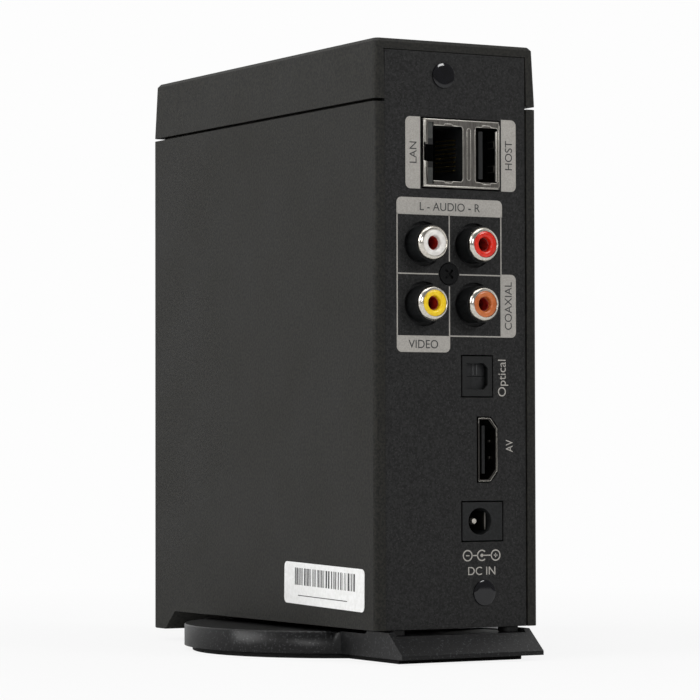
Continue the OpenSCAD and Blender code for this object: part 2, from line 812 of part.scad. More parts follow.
module optical_flap_upper() { optical_flap(1); }
module optical_flap_lower() { optical_flap(-1); }

module optical_emitter() {
    color("#7d1512") in_body()
        bar_y(optical_x, optical_z, 4, panel_y - 10.05, panel_y - 8.2);
}

// ---------------------------------------------------------------- digital picture port

// Outline with two canted corners on the board side
module av_profile(y0, y1, grow) {
    w = av_face[0] / 2 + grow;
    h = av_face[1] / 2 + grow;
    cant_x = 2;
    cant_z = 2.4;
    translate([av_x, y1, av_z]) rotate([90, 0, 0]) linear_extrude(y1 - y0)
        polygon([[w, h], [cant_x - w, h], [-w, h - cant_z], [-w, cant_z - h], [cant_x - w, -h], [w, -h]]);
}

module av_port_shield() {
    deep = 12;
    foot = 1.2;
    color("#b5b3ae") in_body() {
        difference() {
            av_profile(panel_y - deep, panel_y + 0.1, 0);
            av_profile(panel_y - deep - eps, panel_y + 0.1 + eps, -shield_t);
        }
        for (z = [av_z - av_face[1] / 2 + 3, av_z + av_face[1] / 2 - 3 - foot])
            block([board_x, panel_y - deep + 2, z],
                [av_x - av_face[0] / 2 + eps, panel_y - deep + 5, z + foot]);
    }
}

module av_port_core() {
    half = av_face / 2;
    color("#151617") in_body() {
        av_profile(panel_y - 11.8, panel_y - 8, -shield_t - 0.02);
        block([av_x + 0.3, panel_y - 8 - eps, av_z - half[1] + 1.8],
            [av_x + 1.1, panel_y - 0.8, av_z + half[1] - 1.8]);
    }
}

// ---------------------------------------------------------------- power jack

power_deep = 9;

module power_jack_body() {
    half = power_face / 2;
    color("#131415") in_body() difference() {
        block([board_x, panel_y - 13, power_z - half[1]],
            [power_x + half[0], panel_y + 0.05, power_z + half[1]]);
        bar_y(power_hole_x, power_z, power_hole_d, panel_y - power_deep, panel_y + 0.1);
        bar_y(power_hole_x, power_z, power_pin_d, panel_y - power_deep - 2.5, panel_y - power_deep + eps);
        block([board_x - eps, panel_in - 0.2, power_z - half[1] - eps],
            [power_x - half[0], panel_y + 0.1, power_z + half[1] + eps]);
    }
}

module power_jack_pin() {
    shoulder = panel_y - 3.2;
    color("#b9bbbd") in_body() {
        bar_y(power_hole_x, power_z, power_pin_d - 0.02, panel_y - power_deep - 2.4, shoulder);
        translate([power_hole_x, shoulder, power_z]) rotate([-90, 0, 0])
            cylinder(d1 = power_pin_d - 0.02, d2 = power_pin_d - 0.8, h = 0.6);
    }
}

// Flat spring beside the pin, bent in towards the plug's sleeve
module power_jack_spring() {
    leaf = 0.4;
    leaf_h = 4;
    root_x = power_hole_x - 2.4;
    tip_x = power_hole_x - 2.3;
    tip_y = panel_y - 1.2;
    color("#c0a86a") in_body() translate([0, 0, power_z - leaf_h / 2]) linear_extrude(leaf_h)
        polygon([[root_x, panel_y - power_deep], [root_x + leaf, panel_y - power_deep],
            [tip_x + leaf, tip_y], [tip_x, tip_y]]);
}

// ---------------------------------------------------------------- panel fasteners and label

module centre_screw() {
    color("#17181a") in_body() difference() {
        union() {
            bar_y(centre_screw_x, centre_screw_z, screw_d, housing_rear - 8.5, panel_y - head_h + eps);
            bar_y(centre_screw_x, centre_screw_z, head_d, panel_y - head_h, panel_y + 0.1);
        }
        for (a = [45, 135]) translate([centre_screw_x, panel_y + 0.1, centre_screw_z]) rotate([0, a, 0])
            block([-1.4, -0.5, -0.3], [1.4, eps, 0.3]);
    }
}

module end_screws() {
    color("#b8b9ba") in_body() for (p = [top_screw, low_screw]) {
        bar_y(p[0], p[1], screw_d, panel_in - 4, panel_y - head_h + eps);
        bar_y(p[0], p[1], head_d, panel_y - head_h, panel_y - 0.02);
    }
}

// Glossy domed discs stuck over the two end screws
module screw_covers() {
    color("#0d0e10") in_body() for (p = [top_screw, low_screw])
        translate([p[0], panel_y, p[1]]) rotate([-90, 0, 0]) {
            cylinder(d = cover_d, h = 0.3);
            translate([0, 0, 0.3]) cylinder(d1 = cover_d, d2 = cover_d - 0.8, h = cover_t - 0.3);
        }
}

label_size = [38.9, 10];
label_mid = [24.45, 9.45];

module side_label() {
    color("#e9e9e7") in_body()
        translate([body_w / 2, body_d - label_mid[0], label_mid[1]]) rotate([90, 0, 90])
            rotate([0, 0, -1.2]) linear_extrude(0.12) rounded(label_size[0], label_size[1], 1.3);
}

// ---------------------------------------------------------------- stand

disc_top = stand_h - disc_gap;
tail_top = stand_h - 0.45;
tail_end = body_d + ramp_out;
pad_inset = 2;
pad_rear_inset = 5.7;
pad_side_inset = 2.5;
foot_x = 15.6;
foot_size = [4, 4];
foot_h = 1.35;

// Straight tail behind the middle of the round foot, in the body's X and Y
module tail_plan(w, end) {
    translate([-w / 2, disc_y]) square([w, end - disc_y]);
}

// Side view of the tail: level, rising behind the round foot, then the slope
module tail_profile() {
    polygon([[disc_y, pad_t], [disc_y, disc_top], [body_d - 10, disc_top], [body_d - 9, tail_top],
        [body_d + 0.8, tail_top], [tail_end, pad_t + ramp_edge], [tail_end, pad_t]]);
}

module disc_form() {
    edge = 0.4;
    translate([0, disc_y, 0]) rotate_extrude($fn = 96) union() {
        translate([0, pad_t]) square([disc_r, disc_top - edge - pad_t]);
        translate([0, pad_t]) square([disc_r - edge, disc_top - pad_t]);
        translate([disc_r - edge, disc_top - edge]) circle(r = edge, $fn = 32);
    }
}

module stand() {
    pocket = foot_x + foot_size[0] / 2;
    color("#232325") translate([0, front_y, 0]) difference() {
        union() {
            disc_form();
            intersection() {
                linear_extrude(stand_h) tail_plan(tail_w, tail_end);
                rotate([90, 0, 90]) linear_extrude(tail_w + 1, center = true) tail_profile();
            }
            bar_z(0, disc_y, post_d, disc_top - eps, stand_h);
        }
        block([-pocket, body_d - 16, stand_h - foot_h], [pocket, body_d + 2, stand_h + eps]);
        bar_z(0, disc_y, screw_d + 0.5, -eps, stand_h + eps);
        bar_z(0, disc_y, head_d + 1.4, -eps, pad_t + 1.6);
    }
}

module stand_pad() {
    color("#141414") translate([0, front_y, 0]) difference() {
        linear_extrude(pad_t) {
            translate([0, disc_y]) circle(r = disc_r - pad_inset, $fn = 96);
            tail_plan(tail_w - 2 * pad_side_inset, tail_end - pad_rear_inset);
        }
        bar_z(0, disc_y, head_d + 1.4, -eps, pad_t + eps);
    }
}

module stand_screw() {
    color("#b8b9ba") translate([0, front_y, 0]) {
        bar_z(0, disc_y, screw_d, pad_t + 1.5, stand_h + dock_z - 0.3);
        bar_z(0, disc_y, head_d, pad_t + 0.2, pad_t + 1.6);
    }
}

module shell_feet() {
    color("#101010") in_body() for (side = [-1, 1])
        translate([side * foot_x, body_d - 0.8 - foot_size[1] / 2, -foot_h]) linear_extrude(foot_h)
            rounded(foot_size[0], foot_size[1], 1);
}

main_shell();
top_cap();
rear_panel();
chassis();
main_board();
board_screws();
processor();
heat_sink();
memory_chips();
board_capacitors();
drive_cage();
dock_board();
dock_socket();
dock_header();
drive_tray();
hard_drive();
drive_lid();
drive_board();
drive_connector();
tray_screws();
cap_screws();
front_window();
power_button();
switch_plunger();
button_switch();
front_board();
remote_receiver();
status_light();
port_shield();
network_insert();
network_contacts();
network_lights();
host_port_core();
jack_housing();
jack_barrels();
jack_insert_white();
jack_insert_red();
jack_insert_yellow();
jack_insert_orange();
jack_contacts();
optical_body();
optical_flap_upper();
optical_flap_lower();
optical_emitter();
av_port_shield();
av_port_core();
power_jack_body();
power_jack_pin();
power_jack_spring();
centre_screw();
end_screws();
screw_covers();
side_label();
stand();
stand_pad();
stand_screw();
shell_feet();
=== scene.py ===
import math
import random

import bmesh
import bpy
from mathutils import Matrix, Vector


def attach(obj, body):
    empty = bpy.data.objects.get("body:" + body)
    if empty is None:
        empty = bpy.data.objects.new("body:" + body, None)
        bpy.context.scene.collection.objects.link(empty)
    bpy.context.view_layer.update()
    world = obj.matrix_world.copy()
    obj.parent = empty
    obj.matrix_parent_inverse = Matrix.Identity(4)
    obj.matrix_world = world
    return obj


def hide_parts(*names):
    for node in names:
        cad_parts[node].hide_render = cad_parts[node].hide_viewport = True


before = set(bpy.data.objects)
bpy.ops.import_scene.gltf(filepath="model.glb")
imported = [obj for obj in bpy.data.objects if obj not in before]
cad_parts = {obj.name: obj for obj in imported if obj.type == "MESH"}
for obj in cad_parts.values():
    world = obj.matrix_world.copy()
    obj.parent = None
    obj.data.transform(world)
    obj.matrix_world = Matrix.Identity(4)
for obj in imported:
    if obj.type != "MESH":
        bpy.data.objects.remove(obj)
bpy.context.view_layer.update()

# Lengths are millimetres in the body's own frame: X from the middle, Y from the front
# face, Z from the underside. Seen from behind, +X is on the left.
MM = 0.001
FRONT_Y = -61.5
UNDERSIDE_Z = 7.7
BODY_W = 44.5
PANEL_Y = 115.6
INK = 0.03            # thickness of the plates and lines printed on the panel
LETTER_INK = 0.02     # thickness of letters, of the polarity sign and of the label's bars

# Double port
TWIN_X = -11.95
TWIN_Z = 103.1
TWIN_W = 21.0
TWIN_H = 16.1
TWIN_Y = 115.85
NET_X = (-1.75, 6.15)
NET_Z = (104.7, 117.6)
HOST_X = (-11.55, -5.5)
HOST_SPRING_Z = (108.2, 113.9)
SLOT_X = (-3.98, -2.98)

# Phono jacks
JACK_X = (8.75, -5.05)
JACK_Z = (75.8, 89.8)
BARREL_END = 120.7
SLEEVE_END = 119.5
BARREL_REAR = SLEEVE_END - 4
BARREL_R = 4.05
BARREL_BORE = 3.12
FACE_Y = BARREL_END - 0.11        # face of the coloured inserts
INSERT_REAR = 113.6
INSERT_R = 3.1
HOLE_R = 1.65
LINING_R = 1.62
LINING_Y = (112.8, 113.3)         # rear of the linings, and the floor of their holes

# Small ports and screw covers; a pair is the (x, z) of a middle
OPTICAL = (-5.8, 59.0)
DOOR_Y = 114.15                   # outer face of the optical doors
AV = (-8.55, 41.75)               # the digital picture port
COVERS = ((3.35, 129.45), (-7.5, 8.1))
COVER_R = 3.0

# Label on the side
LABEL_Y = 91.55
LABEL_Z = 9.45
LABEL_TURN = -1.2                 # degrees about X
LABEL_FACE = BODY_W / 2 + 0.12    # the film is 0.12 thick


def place(x, y, z):
    """A point of the body's frame, in metres."""
    return Vector((x, y + FRONT_Y, z + UNDERSIDE_Z)) * MM


# ---------------------------------------------------------------- camera

def aim_camera():
    """The photograph's view: a long lens a little above the table, looking slightly up."""
    yaw, pitch, roll = (math.radians(a) for a in (29.573, 1.650, -0.126))
    stands_at = place(392.16, 756.24, 43.54)
    up = Vector((0, 0, 1))
    ahead = Vector((-math.sin(yaw), -math.cos(yaw), 0))
    across = Vector((-math.cos(yaw), math.sin(yaw), 0))
    forward = ahead * math.cos(pitch) + up * math.sin(pitch)
    upright = up * math.cos(pitch) - ahead * math.sin(pitch)
    right = across * math.cos(roll) + upright * math.sin(roll)
    top = upright * math.cos(roll) - across * math.sin(roll)
    data = bpy.data.cameras.new("camera")
    data.sensor_width = 36
    data.lens = 164.75
    data.clip_start = 0.05
    camera = bpy.data.objects.new("camera", data)
    turn = Matrix((right, top, -forward)).transposed().to_4x4()
    camera.matrix_world = Matrix.Translation(stands_at) @ turn
    bpy.context.scene.collection.objects.link(camera)
    bpy.context.scene.camera = camera


aim_camera()


# ---------------------------------------------------------------- material tools

def linear(code):
    """An sRGB hex colour as linear RGBA."""
    parts = [int(code[i:i + 2], 16) / 255 for i in (1, 3, 5)]
    return [c / 12.92 if c <= 0.04045 else ((c + 0.055) / 1.055) ** 2.4 for c in parts] + [1]


def add(tree, kind, inputs=None, **settings):
    """A node of one kind, with its settings and its inputs' values or links."""
    made = tree.nodes.new(kind)
    for key, value in settings.items():
        setattr(made, key, value)
    for key, value in (inputs or {}).items():
        if isinstance(value, bpy.types.NodeSocket):
            tree.links.new(value, made.inputs[key])
        else:
            made.inputs[key].default_value = value
    return made


PATCHES = 45.0        # noise scale of the slow change of tone: a patch every 22 mm or so
PATCH_WEIGHT = 0.15   # weight of those patches beside the grain's
SMOOTHEST = 0.02      # least roughness
FLECK_EDGE = 0.03     # softness of a fleck's edge


def finish(name, dark, light, grain, rough, bump=0.0, stretch=(1, 1, 1), spread=0.08,
           speckle=None, **sockets):
    """A surface whose colour wanders between two tones, with grain of a given size in mm.

    rough is the mean roughness and spread how far it varies. bump is the grain's height in mm.
    speckle is (size in mm, share, colour) of fine flecks in the paint.
    """
    material = bpy.data.materials.new(name)
    material.use_nodes = True
    tree = material.node_tree
    tree.nodes.clear()
    spot = add(tree, "ShaderNodeTexCoord").outputs["Object"]
    along = add(tree, "ShaderNodeMapping", {"Vector": spot, "Scale": stretch}).outputs["Vector"]
    fine = add(tree, "ShaderNodeTexNoise",
               {"Vector": along, "Scale": 1 / (grain * MM), "Detail": 2.0, "Roughness": 0.6})
    broad = add(tree, "ShaderNodeTexNoise", {"Vector": spot, "Scale": PATCHES, "Detail": 2.0})
    blend = add(tree, "ShaderNodeMath",
                {0: broad.outputs["Fac"], 1: PATCH_WEIGHT, 2: fine.outputs["Fac"]},
                operation="MULTIPLY_ADD")
    tone = add(tree, "ShaderNodeMapRange",
               {"Value": blend.outputs[0], "From Min": 0.45, "From Max": 0.7})
    colour = add(tree, "ShaderNodeMix",
                 {"Factor": tone.outputs["Result"], 6: linear(dark), 7: linear(light)},
                 data_type="RGBA").outputs[2]
    if speckle:
        size, share, fleck = speckle
        cells = add(tree, "ShaderNodeTexNoise",
                    {"Vector": spot, "Scale": 1 / (size * MM), "Detail": 1.0})
        chosen = add(tree, "ShaderNodeMapRange",
                     {"Value": cells.outputs["Fac"], "From Min": 1 - share - FLECK_EDGE,
                      "From Max": 1 - share + FLECK_EDGE})
        colour = add(tree, "ShaderNodeMix",
                     {"Factor": chosen.outputs["Result"], 6: colour, 7: linear(fleck)},
                     data_type="RGBA").outputs[2]
    dull = add(tree, "ShaderNodeMapRange",
               {"Value": broad.outputs["Fac"], "From Min": 0.3, "From Max": 0.7,
                "To Min": max(rough - spread, SMOOTHEST), "To Max": rough + spread})
    shader = add(tree, "ShaderNodeBsdfPrincipled",
                 {"Base Color": colour, "Roughness": dull.outputs["Result"], **sockets})
    if bump:
        relief = add(tree, "ShaderNodeBump",
                     {"Height": fine.outputs["Fac"], "Strength": 1.0, "Distance": bump * MM})
        tree.links.new(relief.outputs["Normal"], shader.inputs["Normal"])
    out = add(tree, "ShaderNodeOutputMaterial")
    tree.links.new(shader.outputs["BSDF"], out.inputs["Surface"])
    return material


# ---------------------------------------------------------------- materials

# Grain sizes are in mm. A real grain finer than about 0.3 mm is drawn at 0.3 mm or more, so
# that it shows in the render.

# ABS moulded in a spark-eroded tool: matt, its grain breaks up reflections. The real grain
# is about 0.2 mm; it is drawn at 0.6 mm so that it shows
textured_abs = finish("textured_abs", "#050503", "#1f1e19", 0.6, 0.6, bump=0.04,
                      spread=0.04, **{"Specular IOR Level": 0.3})
# Steel sheet with matt powder coat, darker than the shell. The real grain is about 0.15 mm;
# it is drawn at 0.55 mm so that it shows
powder_coat = finish("powder_coat", "#060606", "#1e1e1e", 0.55, 0.62, bump=0.02,
                     speckle=(0.4, 0.34, "#2b2b2b"), spread=0.04,
                     **{"Specular IOR Level": 0.3})
# Satin stove paint with pale flecks, about 0.1 mm in life and drawn at 0.5 mm so that they
# show; the smooth coat between them gives the sheen along the edges
satin_paint = finish("satin_paint", "#030304", "#0c0c0d", 0.6, 0.34, bump=0.004,
                     speckle=(0.5, 0.36, "#303132"), spread=0.04,
                     **{"Specular IOR Level": 0.3})
# Moulded glass-filled PBT of connector bodies: black, a little shiny where light grazes it
pbt = finish("pbt", "#121313", "#1d1e1f", 0.5, 0.45, bump=0.003,
             **{"Specular IOR Level": 0.25})
# The same plastic from a duller tool, for the optical port and the host port's core: nearly
# black, with no clear highlight
grey_pbt = finish("grey_pbt", "#0d0e0e", "#151616", 0.5, 0.5, bump=0.003,
                  **{"Specular IOR Level": 0.3})
# The shutter's doors: the same plastic, glossier from the polished tool, and drawn a little
# lighter than their frame as painted light
door_pbt_painted_light = finish("door_pbt_painted_light", "#161718", "#202122", 0.5, 0.4, bump=0.003,
                  **{"Specular IOR Level": 0.3})
# Discs of cast acrylic, polished: black, and they mirror the room
black_acrylic = finish("black_acrylic", "#07070a", "#0b0b10", 2.0, 0.07, spread=0.02)
# Smoked polycarbonate of the window and receiver: dark red-brown under a glossy skin
smoked_pc = finish("smoked_pc", "#12080b", "#1b0d11", 3.0, 0.09, spread=0.03)
# Ribs of the doors: paler than the doors, a painted highlight along them, so they read as thin
# lines
rib_painted_highlight = finish("rib_painted_highlight", "#3a3b3c", "#4a4b4c", 0.5, 0.35)
# Nickel plate over rolled sheet: satin, streaked by the sheet's rolling lines
satin_nickel = finish("satin_nickel", "#696662", "#7f7c77", 0.3, 0.3, stretch=(1, 1, 0.08),
                      spread=0.03, Metallic=1.0)
# Nickel of the picture port, a darker copy of the nickel: painted shade, so it reads as a dull
# metal that sinks into the panel
nickel_painted_shade = finish("nickel_painted_shade", "#3b3937", "#4a4845", 0.3, 0.36, spread=0.03,
                     Metallic=1.0)
# Nickel plate where a port's sheet is cut or folded, drawn as a bright line: a lighter copy of
# the nickel that is a painted highlight
nickel_painted_highlight = finish("nickel_painted_highlight", "#a5a29b", "#bdbab3", 0.3, 0.38, spread=0.03,
                          Metallic=1.0)
# Nickel plate over turned brass: nearly a mirror, warm in tone
bright_nickel = finish("bright_nickel", "#c9c4ba", "#ded9cf", 0.5, 0.18, spread=0.03,
                       Metallic=1.0)
# Moulded polypropylene inserts: clean plain colours with a soft waxy highlight
white_pp = finish("white_pp", "#dddad5", "#edeae5", 1.2, 0.3)
red_pp = finish("red_pp", "#cd2010", "#e0321e", 1.2, 0.28)
yellow_pp = finish("yellow_pp", "#eabf0c", "#f8d51c", 1.2, 0.3)
orange_pp = finish("orange_pp", "#b8602c", "#c8703a", 1.2, 0.32)
# Phenolic lining seen down the holes: dull dark red
red_lining = finish("red_lining", "#7a1710", "#a02015", 0.8, 0.45)
# Screen-printed ink, pale and dark: flat and matt, a little uneven in tone
pale_ink = finish("pale_ink", "#9a9791", "#aaa6a0", 0.3, 0.6, bump=0.004)
dark_ink = finish("dark_ink", "#2a2a2b", "#343435", 0.4, 0.6)
# Sticker of white film, smooth and a little shiny, and its thermal print, duller than the film
label_film = finish("label_film", "#f2f2f0", "#fbfbfa", 1.0, 0.35)
label_ink = finish("label_ink", "#1d1d1f", "#2a2a2c", 0.4, 0.5)
# Moulded synthetic rubber: dull black, it takes almost no highlight
rubber = finish("rubber", "#050505", "#0b0b0b", 0.5, 0.8, bump=0.01)
# Zinc-plated rolled steel sheet: grey, with fine upright streaks
zinc_sheet = finish("zinc_sheet", "#8a8d90", "#a6a9ab", 0.4, 0.34, stretch=(1, 1, 0.1),
                    Metallic=1.0)
# Cold-headed screws: zinc-plated ones are pale and bright, blackened ones glint only at edges
zinc_screw = finish("zinc_screw", "#a4a5a6", "#bcbdbd", 0.3, 0.25, Metallic=1.0)
black_screw = finish("black_screw", "#08090a", "#101112", 0.3, 0.25, Metallic=0.4)
# Drive: die-cast aluminium, grey with an orange-peel skin, and a stamped stainless lid, lighter
# and smoother with fine upright streaks
cast_aluminium = finish("cast_aluminium", "#85888b", "#9a9d9f", 0.5, 0.45, bump=0.02,
                        Metallic=1.0)
stainless_lid = finish("stainless_lid", "#aeb0b1", "#c6c8c9", 0.3, 0.22, stretch=(1, 1, 0.05),
                       Metallic=1.0)
# Fibreglass board under green solder mask; the tone follows the copper below
solder_mask = finish("solder_mask", "#0f3a22", "#1c5c37", 1.6, 0.3, bump=0.01,
                     **{"Coat Weight": 0.3, "Coat Roughness": 0.15})
# Moulded epoxy of chip packages: near black, with a fine matt grit
chip_epoxy = finish("chip_epoxy", "#141516", "#1d1e20", 0.3, 0.6, bump=0.006)
# Extruded aluminium, anodised black: a soft metallic sheen along the fins
anodised = finish("anodised", "#1c1d1f", "#27292b", 0.4, 0.4, stretch=(1, 1, 0.1),
                  Metallic=0.8)
# Shrunk plastic sleeve of the capacitors: blue-grey and a little shiny
can_sleeve = finish("can_sleeve", "#2c3440", "#3a4452", 1.5, 0.35)
# Gold flash on drawn wire: thin warm lines in the dark of the network port
gold_flash = finish("gold_flash", "#b39a58", "#d0bb78", 0.3, 0.3, Metallic=1.0)
# Moulded small parts: unlit light guides that look smoky, a pale clear lamp, a deep red
# emitter, and a creamy plunger of opaque acetal
light_guide = finish("light_guide", "#2c2e2c", "#3b3d3a", 0.8, 0.4)
clear_epoxy = finish("clear_epoxy", "#b8c6d8", "#d3dfee", 1.0, 0.1,
                     **{"Transmission Weight": 0.6, "IOR": 1.5})
red_epoxy = finish("red_epoxy", "#5a0d0a", "#7d1512", 1.0, 0.2)
pale_acetal = finish("pale_acetal", "#cfcbc0", "#ddd9ce", 1.0, 0.4)

NODE_FINISH = {
    textured_abs: ["main_shell", "top_cap", "power_button"],
    powder_coat: ["rear_panel"],
    satin_paint: ["stand"],
    pbt: ["drive_cage", "dock_socket", "dock_header", "drive_connector", "network_insert",
          "jack_housing", "av_port_core", "power_jack_body"],
    grey_pbt: ["host_port_core", "optical_body"],
    # The doors take the plastic drawn lighter: painted light
    door_pbt_painted_light: ["optical_flap_upper", "optical_flap_lower"],
    smoked_pc: ["front_window", "remote_receiver"],
    satin_nickel: ["port_shield", "power_jack_spring"],
    # The picture port's shield takes the nickel with painted shade
    nickel_painted_shade: ["av_port_shield"],
    bright_nickel: ["power_jack_pin"],
    zinc_sheet: ["chassis", "drive_tray"],
    zinc_screw: ["board_screws", "tray_screws", "cap_screws", "end_screws", "stand_screw"],
    black_screw: ["centre_screw"],
    cast_aluminium: ["hard_drive"],
    stainless_lid: ["drive_lid"],
    solder_mask: ["main_board", "dock_board", "drive_board", "front_board"],
    chip_epoxy: ["processor", "memory_chips", "button_switch"],
    anodised: ["heat_sink"],
    can_sleeve: ["board_capacitors"],
    gold_flash: ["network_contacts"],
    light_guide: ["network_lights"],
    clear_epoxy: ["status_light"],
    red_epoxy: ["optical_emitter"],
    pale_acetal: ["switch_plunger"],
    label_film: ["side_label"],
    rubber: ["stand_pad", "shell_feet"],
}
for material, names in NODE_FINISH.items():
    for name in names:
        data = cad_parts[name].data
        data.materials.clear()
        data.materials.append(material)


# ---------------------------------------------------------------- mesh tools

def soften(width, *names, steps=2):
    """Rounds the sharp edges of CAD nodes by a width in mm."""
    for name in names:
        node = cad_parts[name]
        weld = node.modifiers.new("weld", "WELD")
        weld.merge_threshold = 0.001 * MM
        flatten = node.modifiers.new("flatten", "DECIMATE")
        flatten.decimate_type = "DISSOLVE"
        flatten.angle_limit = math.radians(0.5)
        edge = node.modifiers.new("edge", "BEVEL")
        edge.width = width * MM
        edge.segments = steps
        edge.limit_method = "ANGLE"
        edge.angle_limit = math.radians(40)
        edge.harden_normals = True


def piece(name, mesh, material, body="player", replaces=(), crease=35):
    """Turns a bmesh in the body's frame into an object that rides on a CAD body."""
    bmesh.ops.remove_doubles(mesh, verts=mesh.verts, dist=0.001)
    bmesh.ops.recalc_face_normals(mesh, faces=mesh.faces)
    for face in mesh.faces:
        face.smooth = True
    for edge in mesh.edges:
        soft = edge.calc_face_angle(0) < math.radians(crease)
        edge.smooth = len(edge.link_faces) == 2 and soft
    for vert in mesh.verts:
        vert.co = place(*vert.co)
    data = bpy.data.meshes.new(name)
    mesh.to_mesh(data)
    mesh.free()
    data.materials.append(material)
    made = bpy.data.objects.new(name, data)
    bpy.context.scene.collection.objects.link(made)
    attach(made, body)
    if replaces:
        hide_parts(*replaces)
    return made


def turned(mesh, x, z, profile, steps=64):
    """A turned form about an axis along Y; profile lists (y, radius), where 0 is a point."""
    rings = []
    for y, r in profile:
        if r == 0:
            rings.append([mesh.verts.new((x, y, z))])
        else:
            angles = [2 * math.pi * i / steps for i in range(steps)]
            rings.append([mesh.verts.new((x + r * math.cos(a), y, z + r * math.sin(a)))
                          for a in angles])
    for one, two in zip(rings, rings[1:]):
        for i in range(steps):
            j = (i + 1) % steps
            loop = [one[i % len(one)], one[j % len(one)],
                    two[j % len(two)], two[i % len(two)]]
            mesh.faces.new(list(dict.fromkeys(loop)))


def slab(mesh, outline, y0, y1, bevel=0.0):
    """A flat form of (x, z) outline from y0 to y1, its far rim eased by a bevel."""
    low = [mesh.verts.new((x, y0, z)) for x, z in outline]
    high = [mesh.verts.new((x, y1, z)) for x, z in outline]
    count = len(outline)
    mesh.faces.new(low)
    top = mesh.faces.new(high)
    for i in range(count):
        mesh.faces.new((low[i], low[(i + 1) % count], high[(i + 1) % count], high[i]))
    if bevel:
        bmesh.ops.bevel(mesh, geom=list(top.edges), offset=bevel, segments=2, profile=0.6,
                        affect="EDGES")


def rectangle(x0, x1, z0, z1, radii=(0, 0, 0, 0), steps=6):
    """Outline from x0 to x1 and z0 to z1; radii go round the corners from (x0, z0)."""
    x0, x1 = sorted((x0, x1))
    z0, z1 = sorted((z0, z1))
    corners = [(x0, z0, 1, 1, 180), (x1, z0, -1, 1, 270),
               (x1, z1, -1, -1, 0), (x0, z1, 1, -1, 90)]
    points = []
    for (x, z, sx, sz, start), r in zip(corners, radii):
        if not r:
            points.append((x, z))
            continue
        for i in range(steps + 1):
            a = math.radians(start + 90 * i / steps)
            points.append((x + sx * r + r * math.cos(a), z + sz * r + r * math.sin(a)))
    return points


def words(mesh, text, centre, height, length, across, up):
    """Lettering of a cap height and length in mm, centred; it reads along across, tops to up."""
    curve = bpy.data.curves.new("words", "FONT")
    curve.body = text
    curve.align_x = "CENTER"
    curve.size = 1
    maker = bpy.data.objects.new("words", curve)
    bpy.context.scene.collection.objects.link(maker)
    bpy.context.view_layer.update()
    graph = bpy.context.evaluated_depsgraph_get()
    flat = bpy.data.meshes.new_from_object(maker.evaluated_get(graph))
    bpy.data.objects.remove(maker)
    cap = max(v.co.y for v in flat.vertices)
    ends = [v.co.x for v in flat.vertices]
    across, up, centre = Vector(across), Vector(up), Vector(centre)
    scale, spread = height / cap, length / (max(ends) - min(ends))
    letters = bmesh.new()
    letters.from_mesh(flat)
    for vert in letters.verts:
        side, rise = vert.co.x * spread, (vert.co.y - cap / 2) * scale
        vert.co = centre + across * side + up * rise
    raised = bmesh.ops.extrude_face_region(letters, geom=list(letters.faces))
    away = across.cross(up) * LETTER_INK
    for item in raised["geom"]:
        if isinstance(item, bmesh.types.BMVert):
            item.co += away
    joined = bpy.data.meshes.new("words")
    letters.to_mesh(joined)
    letters.free()
    mesh.from_mesh(joined)
    bpy.data.meshes.remove(joined)
    bpy.data.meshes.remove(flat)


# ---------------------------------------------------------------- covers and stand

soften(0.35, "main_shell", "top_cap", steps=3)
soften(0.25, "rear_panel")
soften(0.4, "stand", steps=3)
soften(0.2, "shell_feet", "stand_pad", "power_button")
soften(0.1, "port_shield", "av_port_shield", "power_jack_body", "host_port_core")
soften(0.3, "drive_tray", "hard_drive", "chassis", "drive_cage")


# ---------------------------------------------------------------- print on the panel

# Pale plates behind the port names, and a grid of lines round the phono jacks. The lines
# stop SCREW_R short of the centre screw's middle
PLATE_R = 1.3
PLATE_FACE = PANEL_Y + INK
LINE_W = 0.3
GRID_X = (16.0, 1.82, -12.47)
GRID_Z = (96.6, 82.8, 68.35)
GRID_FOOT = 68.3
GRID_TOP = 96.85
SCREW = (1.95, 82.9)
SCREW_R = 2.9

plates = bmesh.new()
for outline in (
        rectangle(9.7, 13.7, 102.65, 119.5, (0, PLATE_R, PLATE_R, 0)),
        rectangle(-16.7, -12.6, 102.8, 119.8, (PLATE_R, 0, 0, PLATE_R)),
        rectangle(-12.8, 16.15, GRID_Z[0], 100.6, (0, 0, PLATE_R, PLATE_R)),
        rectangle(1.67, 16.15, 64.5, GRID_Z[2], (PLATE_R, PLATE_R, 0, 0)),
        rectangle(-16.6, -12.3, 68.2, 83.1, (PLATE_R, 0, 0, PLATE_R)),
):
    slab(plates, outline, PANEL_Y, PLATE_FACE)
for x, low, high in (
        (GRID_X[0], GRID_FOOT, GRID_TOP),
        (GRID_X[1], GRID_FOOT, SCREW[1] - SCREW_R),
        (GRID_X[1], SCREW[1] + SCREW_R, GRID_TOP),
        (GRID_X[2], 83.05, GRID_TOP),
):
    slab(plates, rectangle(x - LINE_W / 2, x + LINE_W / 2, low, high), PANEL_Y, PLATE_FACE)
for z, low, high in (
        (GRID_Z[1], -12.4, SCREW[0] - SCREW_R),
        (GRID_Z[1], SCREW[0] + SCREW_R, 16.1),
        (GRID_Z[2], -12.35, 1.7),
):
    slab(plates, rectangle(low, high, z - LINE_W / 2, z + LINE_W / 2), PANEL_Y, PLATE_FACE)
piece("panel_print", plates, pale_ink)

RIGHT = (-1, 0, 0)
UP = (0, 0, 1)
LEFT = (1, 0, 0)
on_plates = bmesh.new()
words(on_plates, "LAN", (11.65, PLATE_FACE, 111.1), 1.9, 5.0, UP, LEFT)
words(on_plates, "HOST", (-14.65, PLATE_FACE, 111.3), 1.95, 6.9, UP, LEFT)
words(on_plates, "L - AUDIO - R", (1.7, PLATE_FACE, 98.6), 1.9, 16.5, RIGHT, UP)
words(on_plates, "VIDEO", (8.9, PLATE_FACE, 66.4), 1.95, 8.0, RIGHT, UP)
words(on_plates, "COAXIAL", (-14.45, PLATE_FACE, 75.65), 1.95, 11.3, UP, LEFT)
piece("plate_words", on_plates, dark_ink)

